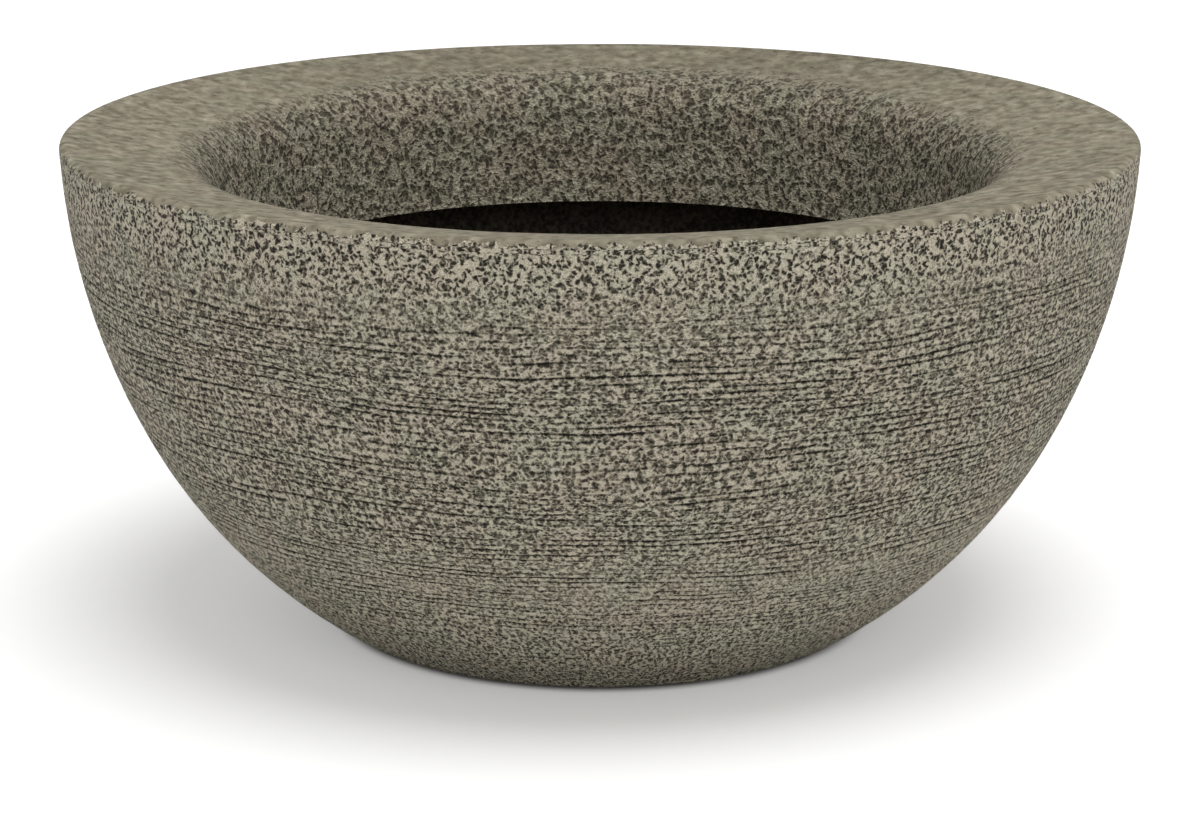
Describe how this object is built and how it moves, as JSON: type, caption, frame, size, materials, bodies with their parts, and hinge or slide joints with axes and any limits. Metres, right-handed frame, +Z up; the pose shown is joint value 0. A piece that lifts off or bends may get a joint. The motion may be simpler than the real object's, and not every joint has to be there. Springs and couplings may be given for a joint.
{
  "type": "bowl planter",
  "caption": "Round bowl planter: hollow stone-look moulding with a wide inward-falling rim and hanging skirt, rubber foot pads and a screw-plug drain under a lift-out strainer.",
  "frame": {"origin": "on the floor, under the centre of the bowl", "axes": "+Z up along the bowl's axis, -Y towards the picture's viewer"},
  "size_m": [0.6, 0.6, 0.28],
  "materials": {
    "stone_plastic": "combed stone-look polyethylene, speckled, with a smooth rim",
    "black_plastic": "moulded black plastic",
    "black_rubber": "matte black rubber"
  },
  "bodies": {
    "planter": {"bowl_shell": "stone_plastic", "foot_pads": "black_rubber", "drain_flange": "black_plastic", "flange_gasket": "black_rubber", "drain_locknut": "black_plastic"},
    "seal": {"plug_seal": "black_rubber"},
    "plug": {"drain_plug": "black_plastic"},
    "strainer": {"drain_strainer": "black_plastic"}
  },
  "joints": [
    {"name": "plug_travel", "type": "slide", "parent": "planter", "child": "seal", "axis": [0, 0, -1], "range_m": [0, 0.0101]},
    {"name": "plug_turn", "type": "hinge", "parent": "seal", "child": "plug", "pos_m": [0, 0, 0.016], "axis": [0, 0, -1], "range_deg": [0, 1440]},
    {"name": "strainer_lift", "type": "slide", "parent": "planter", "child": "strainer", "axis": [0, 0, 1], "range_m": [0, 0.3]}
  ],
  "couplings": [
    {"joint": "plug_travel", "follows": "plug_turn", "m_per_rad": 0.00039789}
  ]
}
